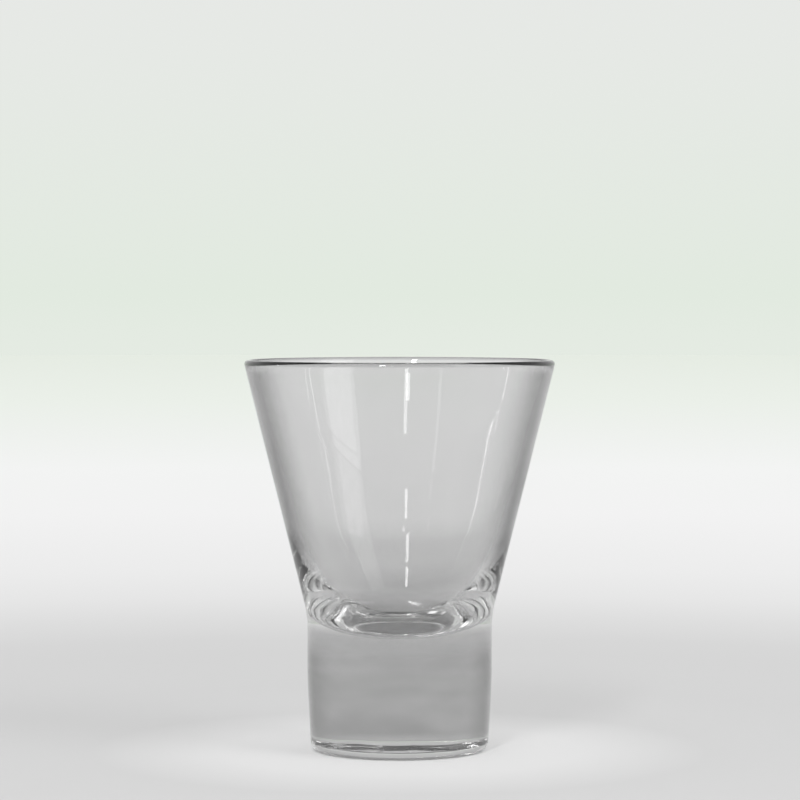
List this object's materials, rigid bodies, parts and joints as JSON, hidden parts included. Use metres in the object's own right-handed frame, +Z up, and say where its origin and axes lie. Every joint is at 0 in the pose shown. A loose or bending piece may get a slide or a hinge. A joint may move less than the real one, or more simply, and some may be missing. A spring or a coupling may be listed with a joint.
{
  "type": "absinthe glass",
  "caption": "Clear pressed-glass tumbler for absinthe: a conical cup with a fire-polished lip on a heavy solid foot with a shallow punt and a flat standing ring.",
  "frame": {"origin": "centre of the flat ring that the glass stands on", "axes": "+Z up along the glass's axis of revolution; +X and +Y are any two square directions, because the glass is round"},
  "size_m": [0.086, 0.086, 0.108],
  "materials": {
    "clear_glass": "pressed and fire-polished"
  },
  "bodies": {
    "root": {"bowl": "clear_glass", "foot": "clear_glass"}
  },
  "joints": []
}
